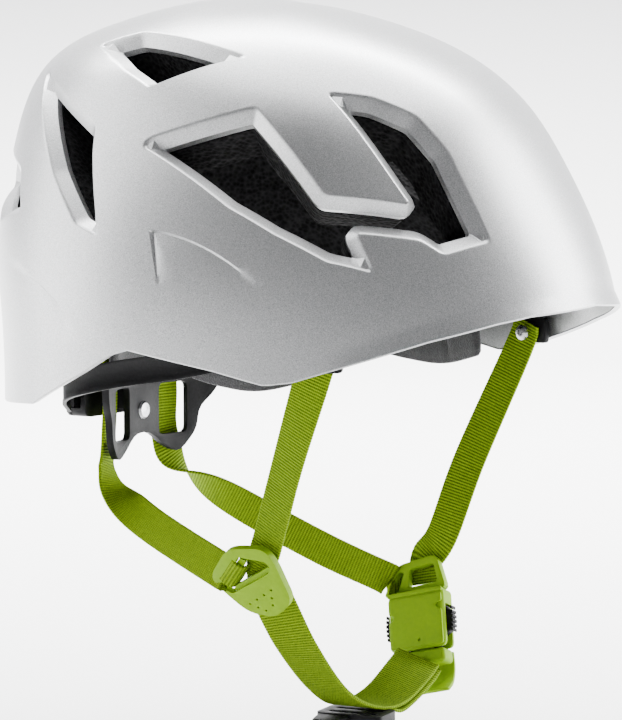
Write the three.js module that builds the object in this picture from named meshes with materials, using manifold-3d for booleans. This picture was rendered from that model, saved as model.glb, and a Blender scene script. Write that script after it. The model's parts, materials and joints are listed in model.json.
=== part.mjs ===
// A climbing helmet: vented outer shell, foam liner, headband with a rear size adjuster, and a
// chin harness of flat webbing with a strap divider, a side-release buckle and a strap adjuster.
// Millimetres, +X towards the face, +Y to the wearer's left, +Z up, origin at the head's centre.
import * as THREE from "three";
import { mergeVertices } from "three/addons/utils/BufferGeometryUtils.js";
import Module from "manifold-3d";

const wasm = await Module();
wasm.setup();

// ---------------------------------------------------------------- driving dimensions
const GAP = 0.4; // clearance between neighbouring pieces
const SHELL = 3; // wall of the outer shell
const FOAM_CROWN = 26; // wall of the foam liner over the head
const FOAM_EDGE = 14; // and down near its edge, beside the headband
const LINER_GAP = 1.6; // room for the tape that holds the liner in the shell
const LINER_SETBACK = 14; // the liner's edge lies this far above the shell's rim
const STRAP_WIDTH = 15;
const CHIN_WIDTH = 20;
const STRAP_THICK = 1.4;

// Outer form: distances from the origin, one row for each direction around the head, at
// these angles down from the crown.
const DOWN_FROM_CROWN = [0, 18, 36, 50, 64, 80, 96, 112, 130];
const OFFSETS = [
  [122, 119, 121, 123, 124, 129, 137, 148, 173], // front
  [122, 120, 121, 120, 117, 118, 122, 132, 155], // front corner
  [122, 122, 119, 113, 108, 105, 105, 112, 134], // side
  [122, 127, 133, 133, 127, 123, 122, 130, 154], // rear corner
  [122, 131, 143, 154, 147, 141, 137, 146, 171], // rear
];

// Lower rim of the shell: height at angles from the front round to the rear, one side.
const RIM = [
  [0, -1], [18, -3.5], [25, -6], [37, -12], [49, -20], [62, -28.5], [68, -30], [80, -25],
  [97, -20], [102, -18.5], [107, -21], [115, -29], [124, -37], [132, -44], [150, -46.5],
  [180, -47],
];

// Vent outlines on the left side, as [angle round from the front, elevation] in degrees.
const VENTS = {
  top: [
    [140, 50], [130, 57], [112, 59], [91, 58], [80, 56], [90, 54], [101, 50], [109, 46], [122, 48],
  ],
  rear: [
    [152, 41], [140, 34], [129, 25], [118, 16], [111, 14], [113, 20], [118, 31], [120, 36],
    [139, 40],
  ],
  side: [
    [104, 34], [102, 36], [89, 40], [73, 43], [55, 23], [38, 20], [54, 45], [42, 43], [32, 38],
    [27, 30], [23, 12], [33, 10], [37, 13], [49, 15], [46, 7], [55, 9.5], [66, 15.5], [77, 21.5],
  ],
  back: [[165, 26], [168, 18], [152, 13], [138, 16], [143, 24]],
};

// ---------------------------------------------------------------- small geometry tools
const radians = THREE.MathUtils.degToRad;
const vector = (p) => new THREE.Vector3(p[0], p[1], p[2]);

function buffer(positions, index) {
  const geometry = new THREE.BufferGeometry();
  geometry.setAttribute("position", new THREE.Float32BufferAttribute(positions, 3));
  geometry.setIndex(index);
  return geometry;
}

// Turns a closed geometry into a solid, facing outwards.
function solid(source) {
  const bare = source.clone();
  bare.deleteAttribute("normal");
  bare.deleteAttribute("uv");
  const geometry = mergeVertices(bare, 1e-4);
  const at = geometry.attributes.position;
  const triangles = Uint32Array.from(geometry.index.array);
  const corner = [new THREE.Vector3(), new THREE.Vector3(), new THREE.Vector3()];
  let volume = 0;
  for (let i = 0; i < triangles.length; i += 3) {
    corner.forEach((c, k) => c.fromBufferAttribute(at, triangles[i + k]));
    volume += corner[0].dot(corner[1].clone().cross(corner[2]));
  }
  if (volume < 0) triangles.reverse();
  return new wasm.Manifold(
    new wasm.Mesh({
      numProp: 3,
      vertProperties: Float32Array.from(at.array),
      triVerts: triangles,
    }),
  );
}

function geometryOf(body) {
  const mesh = body.getMesh();
  return buffer(Array.from(mesh.vertProperties), Array.from(mesh.triVerts));
}

// Natural cubic spline through (x, y), as a function.
function spline(x, y) {
  const n = x.length;
  const second = new Array(n).fill(0);
  const sweep = new Array(n).fill(0);
  for (let i = 1; i < n - 1; i++) {
    const ratio = (x[i] - x[i - 1]) / (x[i + 1] - x[i - 1]);
    const p = ratio * second[i - 1] + 2;
    const bend =
      (y[i + 1] - y[i]) / (x[i + 1] - x[i]) - (y[i] - y[i - 1]) / (x[i] - x[i - 1]);
    second[i] = (ratio - 1) / p;
    sweep[i] = ((6 * bend) / (x[i + 1] - x[i - 1]) - ratio * sweep[i - 1]) / p;
  }
  for (let i = n - 2; i >= 0; i--) second[i] = second[i] * second[i + 1] + sweep[i];
  return (at) => {
    let i = 1;
    while (i < n - 1 && at > x[i]) i++;
    const h = x[i] - x[i - 1];
    const a = (x[i] - at) / h;
    const b = 1 - a;
    const curve = ((a ** 3 - a) * second[i - 1] + (b ** 3 - b) * second[i]) * h * h;
    return a * y[i - 1] + b * y[i] + curve / 6;
  };
}

// Each profile runs over the crown to the opposite side, so the crown is smooth.
function profiles() {
  const angles = [...DOWN_FROM_CROWN.slice(1).map((d) => -d).reverse(), ...DOWN_FROM_CROWN];
  return OFFSETS.map((row, k) => {
    const opposite = OFFSETS[OFFSETS.length - 1 - k];
    return spline(angles, [...opposite.slice(1).reverse(), ...row]);
  });
}
const PROFILES = profiles();

// The outer form's radius at an angle down from the crown and an angle round from the front.
function formRadius(down, round) {
  const r = PROFILES.map((profile) => profile(THREE.MathUtils.radToDeg(down)));
  const last = r.length - 1;
  let sum = 0;
  for (let k = 0; k <= last; k++) {
    let term = (r[0] + r[last] * Math.cos(Math.PI * k)) / 2;
    for (let j = 1; j < last; j++) term += r[j] * Math.cos((Math.PI * j * k) / last);
    const weight = k === 0 || k === last ? 1 / last : 2 / last;
    sum += weight * term * Math.cos(k * round);
  }
  return sum;
}

// inset is a depth below the outer form, or a function that gives it from the angle down.
function formPoint(down, round, inset) {
  const depth = typeof inset === "function" ? inset(down) : inset;
  const r = formRadius(down, round) - depth;
  return [
    r * Math.sin(down) * Math.cos(round),
    r * Math.sin(down) * Math.sin(round),
    r * Math.cos(down),
  ];
}

function rimHeight(round) {
  const degrees = Math.abs(THREE.MathUtils.radToDeg(Math.atan2(Math.sin(round), Math.cos(round))));
  let i = 1;
  while (i < RIM.length - 1 && degrees > RIM[i][0]) i++;
  const t = (degrees - RIM[i - 1][0]) / (RIM[i][0] - RIM[i - 1][0]);
  return THREE.MathUtils.lerp(RIM[i - 1][1], RIM[i][1], t);
}

// The angle down from the crown where the form, set in by inset, reaches a height.
function downTo(height, round, inset) {
  let low = radians(40);
  let high = radians(130);
  for (let i = 0; i < 30; i++) {
    const middle = (low + high) / 2;
    if (formPoint(middle, round, inset)[2] > height) low = middle;
    else high = middle;
  }
  return low;
}

// A closed layer between two insets of the form, down to an edge.
function layer(outset, inset, edge, columns, rows) {
  const positions = [];
  const index = [];
  const perFace = 1 + columns * rows;
  for (const depth of [outset, inset]) {
    positions.push(...formPoint(0, 0, depth));
    for (let row = 1; row <= rows; row++) {
      for (let c = 0; c < columns; c++) {
        const round = (2 * Math.PI * c) / columns;
        positions.push(...formPoint(edge(round, depth) * (row / rows), round, depth));
      }
    }
  }
  const at = (face, row, c) => face * perFace + (row ? 1 + (row - 1) * columns + (c % columns) : 0);
  const quad = (a, b, c, d) => index.push(a, b, c, a, c, d);
  for (let c = 0; c < columns; c++) {
    index.push(at(0, 0, 0), at(0, 1, c), at(0, 1, c + 1));
    index.push(at(1, 0, 0), at(1, 1, c + 1), at(1, 1, c));
    for (let row = 1; row < rows; row++) {
      quad(at(0, row, c), at(0, row + 1, c), at(0, row + 1, c + 1), at(0, row, c + 1));
      quad(at(1, row, c), at(1, row, c + 1), at(1, row + 1, c + 1), at(1, row + 1, c));
    }
    quad(at(0, rows, c), at(1, rows, c), at(1, rows, c + 1), at(0, rows, c + 1));
  }
  return buffer(positions, index);
}

// A wedge from near the origin outwards through a vent outline. side is 1 left, -1 right.
function ventCut(outline, side) {
  const [near, far] = [45, 420];
  const directions = outline.map(([round, up]) => {
    const [a, e] = [radians(round), radians(up)];
    const flat = Math.cos(e);
    return new THREE.Vector3(flat * Math.cos(a), side * flat * Math.sin(a), Math.sin(e));
  });
  const middle = directions.reduce((sum, d) => sum.add(d), new THREE.Vector3()).normalize();
  const east = new THREE.Vector3(0, 0, 1).cross(middle).normalize();
  const north = middle.clone().cross(east);
  const plan = directions.map(
    (d) => new THREE.Vector2(d.dot(east) / d.dot(middle), d.dot(north) / d.dot(middle)),
  );
  if (THREE.ShapeUtils.isClockWise(plan)) {
    plan.reverse();
    directions.reverse();
  }
  const count = directions.length;
  const positions = [];
  for (const reach of [near, far]) {
    for (const d of directions) positions.push(d.x * reach, d.y * reach, d.z * reach);
  }
  const index = [];
  for (const [a, b, c] of THREE.ShapeUtils.triangulateShape(plan, [])) {
    index.push(a, c, b, a + count, b + count, c + count);
  }
  for (let i = 0; i < count; i++) {
    const j = (i + 1) % count;
    index.push(i, j, j + count, i, j + count, i + count);
  }
  return solid(buffer(positions, index));
}

// Joins rings of equal count, in order, into a closed solid with flat fan ends.
function loft(rings) {
  const size = rings[0].length;
  const positions = rings.flat().flatMap((p) => [p.x, p.y, p.z]);
  const index = [];
  for (let r = 0; r < rings.length - 1; r++) {
    for (let i = 0; i < size; i++) {
      const [a, b] = [r * size + i, r * size + ((i + 1) % size)];
      index.push(a, b, b + size, a, b + size, a + size);
    }
  }
  const top = (rings.length - 1) * size;
  for (let i = 1; i < size - 1; i++) index.push(0, i + 1, i, top, top + i, top + i + 1);
  return geometryOf(solid(buffer(positions, index)));
}

// A flat band along stations of [centre, direction across]. width may depend on t.
function band(stations, width, thick, steps) {
  const centre = new THREE.CatmullRomCurve3(stations.map((s) => vector(s[0])));
  const across = new THREE.CatmullRomCurve3(stations.map((s) => vector(s[1])));
  const rings = [];
  for (let i = 0; i <= steps; i++) {
    const t = i / steps;
    const along = centre.getTangent(t);
    const side = across.getPoint(t);
    side.addScaledVector(along, -side.dot(along)).normalize();
    const face = side.clone().cross(along);
    const half = (typeof width === "function" ? width(t) : width) / 2;
    rings.push(
      [[-1, -1], [1, -1], [1, 1], [-1, 1]].map(([a, b]) =>
        centre.getPoint(t).addScaledVector(side, a * half).addScaledVector(face, (b * thick) / 2),
      ),
    );
  }
  return loft(rings);
}

// A closed outline, anticlockwise, with its corners rounded.
function rounded(points, radius) {
  const corners = points.map(([x, y]) => new THREE.Vector2(x, y));
  if (THREE.ShapeUtils.isClockWise(corners)) corners.reverse();
  const outline = new THREE.Shape();
  corners.forEach((corner, i) => {
    const before = corners.at(i - 1);
    const after = corners[(i + 1) % corners.length];
    const reach = (end) => Math.min(radius, corner.distanceTo(end) * 0.45);
    const start = corner.clone().lerp(before, reach(before) / corner.distanceTo(before));
    const stop = corner.clone().lerp(after, reach(after) / corner.distanceTo(after));
    if (i === 0) outline.moveTo(start.x, start.y);
    else outline.lineTo(start.x, start.y);
    outline.quadraticCurveTo(corner.x, corner.y, stop.x, stop.y);
  });
  outline.closePath();
  return outline;
}

const rectangle = (x0, y0, x1, y1) => [[x0, y0], [x1, y0], [x1, y1], [x0, y1]];

// A plate from an outline, from height low to high in its own frame.
function plate(outline, low, high, bevel = 0) {
  const geometry = new THREE.ExtrudeGeometry(outline, {
    depth: high - low - 2 * bevel,
    curveSegments: 3,
    bevelEnabled: bevel > 0,
    bevelThickness: bevel,
    bevelSize: bevel,
    bevelOffset: -bevel,
    bevelSegments: 1,
  });
  return geometry.translate(0, 0, low + bevel);
}

// A box between two corners.
function block(low, high) {
  const size = high.map((v, i) => v - low[i]);
  const geometry = new THREE.BoxGeometry(...size);
  return geometry.translate(...low.map((v, i) => v + size[i] / 2));
}

// Puts a geometry's own x, y, z along three directions at a place.
function placed(geometry, x, y, z, origin) {
  const matrix = new THREE.Matrix4().makeBasis(vector(x), vector(y), vector(z));
  return geometry.clone().applyMatrix4(matrix.setPosition(vector(origin)));
}

// A turned piece along +X: [[x, radius], ...] from the axis back to the axis.
function turned(profile, segments, centre) {
  const points = profile.map(([x, r]) => new THREE.Vector2(r, x));
  const geometry = new THREE.LatheGeometry(points, segments);
  return geometry.rotateZ(-Math.PI / 2).translate(...centre);
}

const cut = (body, ...tools) => tools.reduce((left, tool) => left.subtract(solid(tool)), solid(body));

// ---------------------------------------------------------------- materials
const finish = (color, roughness, metalness = 0) => ({ color, roughness, metalness });
const FINISH = {
  shell: finish(0xd9dadc, 0.32, 0.35),
  foam: finish(0x2a2a2c, 0.9),
  pad: finish(0x1f2022, 0.95),
  plastic: finish(0x222325, 0.5),
  webbing: finish(0x8eaf08, 0.85),
  hardware: finish(0x86b004, 0.45),
  steel: finish(0xb9bbbd, 0.3, 0.9),
};

const helmet = new THREE.Group();
function add(name, geometry, look) {
  const closed = geometryOf(solid(geometry));
  const mesh = new THREE.Mesh(closed, new THREE.MeshStandardMaterial(FINISH[look]));
  mesh.name = name;
  helmet.add(mesh);
  return mesh;
}

const SIDES = [
  ["left", 1],
  ["right", -1],
];
const mirrored = (stations, side) =>
  stations.map(([p, w]) => [[p[0], side * p[1], p[2]], [w[0], side * w[1], w[2]]]);

// ---------------------------------------------------------------- shell, liner, pads
const LINER_OUT = SHELL + LINER_GAP;

// The liner thins from the crown's wall to the edge's wall between two angles.
function foamInset(down) {
  const share = THREE.MathUtils.smoothstep(down, radians(66), radians(84));
  return LINER_OUT + THREE.MathUtils.lerp(FOAM_CROWN, FOAM_EDGE, share);
}

function shellAndLiner() {
  let shell = solid(
    layer(0, SHELL, (round, inset) => downTo(rimHeight(round), round, inset), 72, 11),
  );
  const linerEdge = (round, inset) => downTo(rimHeight(round) + LINER_SETBACK, round, inset);
  let liner = solid(layer(LINER_OUT, foamInset, linerEdge, 48, 8));
  for (const outline of Object.values(VENTS)) {
    for (const [, side] of SIDES) {
      const wedge = ventCut(outline, side);
      shell = shell.subtract(wedge);
      liner = liner.subtract(wedge);
    }
  }
  add("outer_shell", geometryOf(shell), "shell");
  add("foam_liner", geometryOf(liner), "foam");
}

function pads() {
  const inside = LINER_OUT + FOAM_CROWN + 2 * GAP;
  add("crown_pad", layer(inside, inside + 5, () => radians(22), 20, 3), "pad");
  const up = [0, 0, 1];
  const brow = [
    [[64, -57, 4], up], [[79, -38, 7], up], [[95, 0, 9], up], [[79, 38, 7], up], [[64, 57, 4], up],
  ];
  add("brow_pad", band(brow, 24, 5, 16), "pad");
  for (const [name, side] of SIDES) {
    const lens = (t) => 10 + 18 * Math.sin(Math.PI * t);
    const stations = [
      [[-8, 77, -18], up], [[8, 78, -21], up], [[24, 77, -22], up], [[44, 72, -17], up],
    ];
    add(`side_pad_${name}`, band(mirrored(stations, side), lens, 4, 10), "pad");
  }
}

// ---------------------------------------------------------------- headband
function headband() {
  const up = [0, 0, 1];
  const front = [
    [[58, -69, 3], up], [[83, -43, 7], up], [[99, 0, 9], up], [[83, 43, 7], up], [[58, 69, 3], up],
  ];
  add("headband_front", band(front, 16, 1.6, 16), "plastic");
  for (const [name, side] of SIDES) {
    const arm = [
      [[-96.2, 38, RACK_HEIGHT[name]], up], [[-82, 60, -39], up], [[-46, 77, -31], up],
      [[0, 82, -23], up], [[36, 78.5, -11], up], [[59.5, 72, 2], [-0.3, 0, 0.95]],
    ];
    add(`band_arm_${name}`, band(mirrored(arm, side), 11, 1.6, 18), "plastic");
    const rivet = turned([[0, 0], [0, 3.2], [1.4, 3.2], [2.2, 1.6], [2.2, 0]], 12, [0, 0, 0]);
    const inwards = new THREE.Vector3(-0.66, -side * 0.75, 0).normalize();
    const turn = new THREE.Quaternion().setFromUnitVectors(new THREE.Vector3(1, 0, 0), inwards);
    const mesh = add(`band_rivet_${name}`, rivet, "plastic");
    mesh.quaternion.copy(turn);
    mesh.position.set(58.4, side * 66.6, 3.4);
  }
}

// ---------------------------------------------------------------- rear cradle and adjuster
const CRADLE_INNER = 84; // radius of the cradle's head side about the vertical axis
const CRADLE_THICK = 3;
const KNOB_HEIGHT = -42;
const PITCH_RADIUS = 5; // of the pinion
const TEETH = 10;
const RACK_HEIGHT = { left: KNOB_HEIGHT + PITCH_RADIUS, right: KNOB_HEIGHT - PITCH_RADIUS };
const HOUSING = { front: -91.3, floor: -93.6, lip: -99, cover: -101.4, half: 34 };

// Bends a plate drawn as (distance round, height) onto the cradle's radius.
function wrapped(geometry) {
  const at = geometry.attributes.position;
  for (let i = 0; i < at.count; i++) {
    const r = CRADLE_INNER + at.getZ(i);
    const angle = at.getX(i) / CRADLE_INNER;
    at.setXYZ(i, -r * Math.cos(angle), r * Math.sin(angle), at.getY(i));
  }
  return geometry;
}

function cradle() {
  const outline = rounded(
    [
      [-49, -38.5], [-43, -49], [-35, -55], [-34, -65], [-24, -75], [-15, -71], [-6, -64],
      [6, -64], [15, -71], [24, -75], [34, -65], [35, -55], [43, -49], [49, -38.5],
    ],
    5,
  );
  for (const side of [-1, 1]) {
    const slot = rectangle(side * 20 - 8.6, -66, side * 20 + 8.6, -43);
    outline.holes.push(rounded(slot, 3));
  }
  add("cradle_frame", wrapped(stripPlate(outline, 0, CRADLE_THICK)), "plastic");
  const padOutline = rounded(rectangle(-33, -37, 33, -24), 4);
  add("cradle_pad", wrapped(stripPlate(padOutline, -2, 2.6)), "pad");
  const snap = [[-84 + 0.4, 0], [-84 + 0.4, 4], [-82.6, 3.2], [-82.2, 0]];
  add("cradle_snap", turned(snap, 14, [0, 0, -54]), "steel");
}

// A plate with its faces divided finely enough to be wrapped smoothly.
function stripPlate(outline, low, high) {
  return geometryOf(solid(plate(outline, low, high)).refineToLength(8));
}

// One rack: a straight toothed strip through the housing, ending where its band arm starts.
function rack(name, side) {
  const facing = name === "left" ? -1 : 1; // the left rack's teeth face down
  const pitch = (2 * Math.PI * PITCH_RADIUS) / TEETH;
  const outline = [[-13, 3.2], [-13, 0.9]];
  for (let k = -4; k < 4; k++) {
    const y = (k + 0.5) * pitch;
    outline.push([y - 0.85, 0.9], [y - 0.4, -0.8], [y + 0.4, -0.8], [y + 0.85, 0.9]);
  }
  outline.push([13.5, 0.9], [36.5, -3], [36.5, 3.2]);
  const shape = new THREE.Shape(outline.map(([y, z]) => new THREE.Vector2(side * y, -facing * z)));
  const body = plate(shape, 0, 2);
  const centre = [-95.2, 0, KNOB_HEIGHT - facing * PITCH_RADIUS];
  add(`rack_${name}`, placed(body, [0, 1, 0], [0, 0, 1], [-1, 0, 0], centre), "plastic");
}

function pinion() {
  const outline = [];
  for (let k = 0; k < TEETH; k++) {
    const middle = (2 * Math.PI * k) / TEETH + Math.PI / 2;
    for (const [turn, r] of [[-0.19, 3.9], [-0.08, 5.7], [0.08, 5.7], [0.19, 3.9]]) {
      outline.push(new THREE.Vector2(r * Math.cos(middle + turn), r * Math.sin(middle + turn)));
    }
  }
  const gear = placed(
    plate(new THREE.Shape(outline), 0, 3), [0, 1, 0], [0, 0, 1], [-1, 0, 0], [-94.6, 0, KNOB_HEIGHT],
  );
  const shaft = turned([[-103, 0], [-103, 2.8], [-97.4, 2.8], [-97.4, 0]], 16, [0, 0, KNOB_HEIGHT]);
  add("pinion", geometryOf(solid(gear).add(solid(shaft))), "plastic");
}

function knob() {
  const grip = new THREE.Shape();
  const ribs = 12;
  for (let i = 0; i < ribs * 4; i++) {
    const angle = (2 * Math.PI * i) / (ribs * 4);
    const r = 12.4 + 0.6 * Math.sign(Math.sin(ribs * angle + 0.1));
    const [y, z] = [r * Math.cos(angle), r * Math.sin(angle)];
    if (i === 0) grip.moveTo(y, z);
    else grip.lineTo(y, z);
  }
  const wheel = placed(
    plate(grip, 0, 8), [0, 1, 0], [0, 0, 1], [-1, 0, 0], [-103.3, 0, KNOB_HEIGHT],
  );
  add("adjuster_knob", wheel, "plastic");
}

function housing() {
  const { front, floor, lip, cover, half } = HOUSING;
  const [low, high] = [KNOB_HEIGHT - 13, KNOB_HEIGHT + 13];
  const outline = rounded(rectangle(-half, low, half, high), 5);
  const across = (shape, from, to) =>
    placed(plate(shape, 0, from - to), [0, 1, 0], [0, 0, 1], [-1, 0, 0], [from, 0, 0]);
  const pocket = rounded(rectangle(-half + 2.5, low + 2.5, half - 2.5, high - 2.5), 3);
  const channel = block([lip - 1, -half - 1, KNOB_HEIGHT - 9], [floor, half + 1, KNOB_HEIGHT + 9]);
  const tray = cut(across(outline, front, lip), across(pocket, floor, lip - 1), channel);
  const boss = block([front - 0.5, -9, low + 2], [-87.4, 9, high - 12]);
  add("adjuster_housing", geometryOf(tray.add(solid(boss))), "plastic");
  const hole = turned([[-110, 0], [-110, 3.3], [-90, 3.3], [-90, 0]], 16, [0, 0, KNOB_HEIGHT]);
  const lid = cut(across(outline, lip - GAP, cover), hole);
  add("housing_cover", geometryOf(lid), "plastic");
  for (const [name, side] of SIDES) {
    const screw = [[-102.6, 0], [-102.6, 1.6], [-101.8, 2.4], [-101.8, 0]];
    add(`cover_screw_${name}`, turned(screw, 10, [0, side * 26, KNOB_HEIGHT - 9]), "steel");
  }
  const ring = [[-102.7, 8], [-102, 8], [-102, 10.5], [-102.7, 10.5], [-102.7, 8]];
  add("detent_spring", turned(ring, 20, [0, 0, KNOB_HEIGHT]), "steel");
}

// ---------------------------------------------------------------- webbing and anchors
function anchors() {
  for (const [name, side] of SIDES) {
    const base = rounded(rectangle(-9.5, -5.5, 9.5, 5.5), 2);
    const out = [0.33, side * 0.944, 0];
    const along = [-side * out[1], side * out[0], 0];
    const frontBody = placed(
      plate(base, 0, 2.6), along, [0, 0, 1], out, [60, side * 90.3, -19],
    );
    add(`front_anchor_${name}`, frontBody, "plastic");
    const rivet = turned([[0, 0], [0, 3.4], [1.2, 3.4], [2, 1.8], [2, 0]], 12, [0, 0, 0]);
    const turn = new THREE.Quaternion().setFromUnitVectors(
      new THREE.Vector3(1, 0, 0), vector(out).negate().normalize(),
    );
    const head = add(`front_rivet_${name}`, rivet, "steel");
    head.quaternion.copy(turn);
    head.position.set(58.6, side * 86.4, -20);
    const rear = block([-1, -8, -5], [1, 8, 5]);
    add(`rear_anchor_${name}`, rear.translate(-107.6, side * 25, -4), "plastic");
  }
}

function upperStraps() {
  const fore = [0.944, -0.33, 0];
  const frontRight = [
    [[59.4, 88.9, -15.6], fore], [[55.5, 88.4, -27], [0.93, -0.2, -0.3]],
    [[39, 79, -61], [0.9, 0.1, -0.4]], [[21.5, 66.5, -98], [0.9, 0.1, -0.4]],
  ];
  add("front_strap_right", band(mirrored(frontRight, -1), STRAP_WIDTH, STRAP_THICK, 8), "webbing");
  const frontLeft = [
    [[59.4, 88.9, -15.6], fore], [[55.5, 88.4, -27], [0.93, -0.2, -0.3]],
    [[37, 78, -76], [0.93, 0, -0.35]], [[26.5, 67, -116], [0.95, 0, -0.3]],
  ];
  add("front_strap_left", band(frontLeft, STRAP_WIDTH, STRAP_THICK, 8), "webbing");
  const down = [
    [[-105.4, 25, 0], [0, 1, 0]], [[-105, 24.6, -9], [0, 1, 0]], [[-97, 23, -18], [0, 1, 0]],
    [[-88.6, 21, -28], [0.25, 0.97, 0]], [[-87, 21, -46], [0.25, 0.97, 0]],
    [[-87.4, 22, -66], [0.25, 0.95, 0.1]],
  ];
  const rearRight = [
    ...down, [[-86.5, 24, -78], [0.25, 0.95, -0.1]], [[-77, 29, -88], [0.15, 0.9, -0.4]],
    [[-52, 42, -97.5], [-0.25, 0.45, -0.85]], [[-4, 63.5, -110], [-0.3, 0.3, -0.85]],
  ];
  add("rear_strap_right", band(mirrored(rearRight, -1), STRAP_WIDTH, STRAP_THICK, 22), "webbing");
  const rearLeft = [
    ...down, [[-82, 26, -81], [0.4, 0.75, -0.5]], [[-58, 36, -97], [0.45, 0.3, -0.85]],
    [[-22, 50, -117], [0.4, 0.2, -0.9]], [[4, 59.5, -129], [0.35, 0.2, -0.9]],
  ];
  add("rear_strap_left", band(rearLeft, STRAP_WIDTH, STRAP_THICK, 22), "webbing");
}

function chinStraps() {
  const stations = [
    [[17.5, -62, -114.7], [1, 0, 0.2]], [[20, -57.8, -124], [1, 0, 0.2]],
    [[24, -48, -142], [1, 0, 0.1]], [[27, -29, -162], [1, 0, 0]],
    [[29, -10, -172], [1, 0.1, 0]], [[31, 12, -172], [0.97, 0.15, -0.2]],
    [[31, 34, -164], [0.92, 0.2, -0.35]], [[30.4, 43.5, -160], [0.92, 0.2, -0.35]],
  ];
  add("chin_strap", band(stations, CHIN_WIDTH, STRAP_THICK, 20), "webbing");
  const back = [
    [[30.5, 5, -175.6], [1, 0.1, 0]], [[31.3, 14, -174.4], [0.97, 0.15, -0.2]],
    [[31.5, 35.5, -166.4], [0.92, 0.2, -0.35]], [[31, 44, -162.4], [0.92, 0.2, -0.35]],
  ];
  add("chin_strap_return", band(back, CHIN_WIDTH, STRAP_THICK, 10), "webbing");
}

// ---------------------------------------------------------------- strap divider, right side
function divider() {
  const outline = rounded(
    [[-21, -1], [-9, 14], [9, 15.5], [13, 9], [17, -9], [7, -17], [-5, -16]],
    5,
  );
  outline.holes.push(rounded([[-15, -1], [-12, -4], [-3, 7], [-6, 10]], 1));
  outline.holes.push(rounded([[-4, 9], [-4, 12.5], [9, 12], [9, 8.5]], 1));
  outline.holes.push(rounded([[-8, -6], [8, 4], [9, 1.5], [-5, -9]], 1));
  const place = [[1, 0, 0], [0, -0.39, 0.92], [0, -0.92, -0.39], [15, -66.5, -112]];
  add("strap_divider", placed(plate(outline, -1.5, 1.5), ...place), "hardware");
}

// ---------------------------------------------------------------- buckle, left side
const BUCKLE = new THREE.Vector3(22, 60, -138); // at the groove between frame and body
const PULL = new THREE.Vector3(0.25, -0.33, -0.91).normalize(); // the way the insert leaves
const WIDE = new THREE.Vector3(1, 0, 0).addScaledVector(PULL, -PULL.x).normalize();
const OUTWARD = WIDE.clone().cross(PULL);

// Places a piece drawn with x across, y along the pull and z away from the head.
function inBuckle(geometry) {
  const turn = new THREE.Matrix4().makeBasis(WIDE, PULL, OUTWARD);
  return geometry.clone().applyMatrix4(turn.setPosition(BUCKLE));
}

function buckle() {
  const frame = rounded([[-17, -3], [-9, -17], [10, -19], [14, -3]], 3);
  frame.holes.push(rounded([[-13, -6], [-8.5, -14], [-6, -13], [-9.5, -5]], 0.8));
  frame.holes.push(rounded([[-4.5, -6], [-3.5, -14.5], [8.5, -15.5], [10, -6.5]], 1.5));
  const body = plate(rounded(rectangle(-13.5, -3.2, 13.5, 23), 2.5), -5, 5, 1);
  const mouth = block([-15, 4, -2.6], [15, 25, 2.6]);
  const female = cut(body, mouth).add(solid(plate(frame, -2, 2)));
  add("buckle_socket", inBuckle(geometryOf(female)), "hardware");
  const tongue = block([-3.5, 6, -2], [3.5, 24, 2]);
  const base = plate(rounded(rectangle(-12.5, 23.6, 12.5, 30), 2), -4.6, 4.6, 1);
  const insert = solid(base).add(solid(tongue)).add(solid(block([-3.5, 23, -2], [3.5, 25, 2])));
  add("buckle_insert", inBuckle(geometryOf(insert)), "hardware");
  for (const [name, side] of SIDES) {
    const arm = rounded(
      [
        [side * 6, 23.2], [side * 5.4, 14], [side * 8, 5], [side * 13, 4.6], [side * 16, 8],
        [side * 15.6, 16], [side * 11, 18], [side * 9.5, 23.2],
      ],
      1,
    );
    add(`release_prong_${name}`, inBuckle(plate(arm, -2, 2, 0.4)), "plastic");
  }
  const guard = [
    [[0, 24, 6], [1, 0, 0]], [[0, 31, 6.6], [1, 0, 0]], [[0, 38, 4], [1, 0, 0]],
    [[0, 42, -1], [1, 0, 0]],
  ];
  add("buckle_guard", inBuckle(band(guard, 24, 1.6, 8)), "hardware");
}

// ---------------------------------------------------------------- strap adjuster
function strapAdjuster() {
  const outline = rounded(rectangle(-15, -9, 15, 9), 3);
  outline.holes.push(rounded(rectangle(-10.8, 2.2, 10.8, 5.4), 1));
  outline.holes.push(rounded(rectangle(-10.8, -5.4, 10.8, -2.2), 1));
  const tab = plate(rounded([[-14, -8], [-11, -22], [-2, -22], [2, -8]], 3), -1.8, 1.8, 0.6);
  const body = solid(plate(outline, -2.2, 2.2)).add(solid(tab));
  const place = [[0.99, 0.1, 0], [-0.1, 0.99, 0], [0, 0, 1], [29, -8, -177.2]];
  add("strap_adjuster", placed(geometryOf(body), ...place), "plastic");
}

shellAndLiner();
pads();
headband();
cradle();
SIDES.forEach(([name, side]) => rack(name, side));
pinion();
knob();
housing();
anchors();
upperStraps();
chinStraps();
divider();
buckle();
strapAdjuster();

export default helmet;
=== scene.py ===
"""A climbing helmet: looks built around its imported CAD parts. Metres, +X to the face, +Z up."""

import json
import math

import bmesh
import bpy
import numpy as np
from mathutils import Matrix, Vector
from mathutils.geometry import delaunay_2d_cdt


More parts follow.
